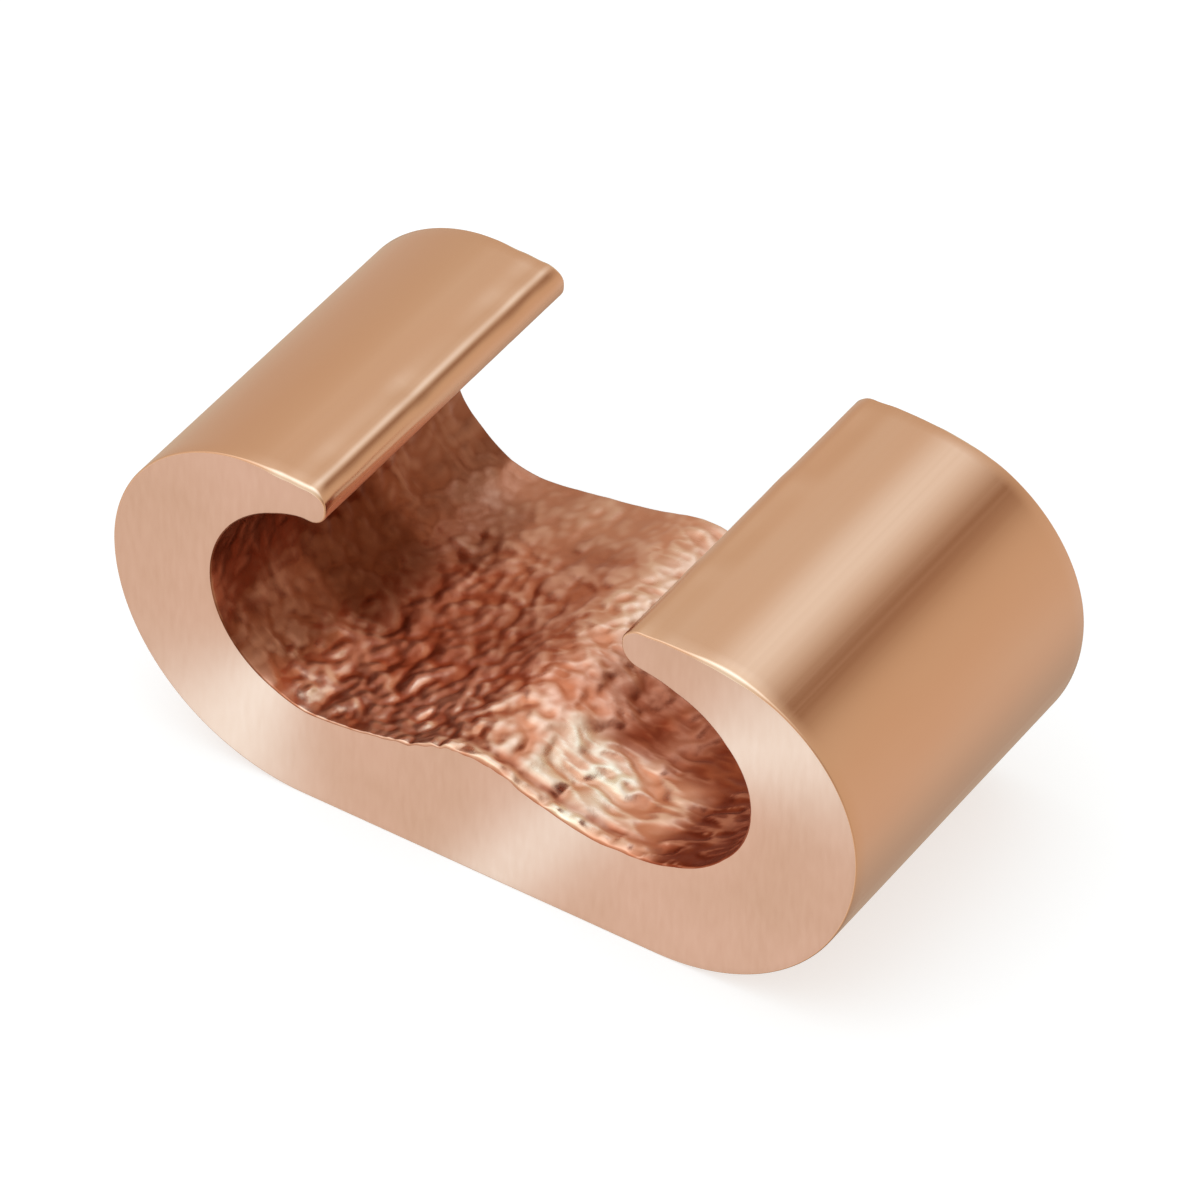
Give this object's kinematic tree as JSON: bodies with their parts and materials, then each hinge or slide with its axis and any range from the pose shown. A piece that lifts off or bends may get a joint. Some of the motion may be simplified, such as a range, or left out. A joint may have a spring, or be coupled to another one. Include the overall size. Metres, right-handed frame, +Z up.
{
  "type": "c-tap connector",
  "caption": "C-shaped copper compression tap that joins a tap conductor to a run conductor, with facing grooves, rounded lips and a low middle ridge.",
  "frame": {"origin": "middle of the flat foot that it lies on", "axes": "+X across the section from the run groove to the tap groove, +Y along the conductors, +Z up out of the mouth"},
  "size_m": [0.036, 0.0176, 0.0168],
  "materials": {
    "copper": "bare copper, satin outside, rough inside the channel"
  },
  "bodies": {
    "root": {"body": "copper"}
  },
  "joints": []
}
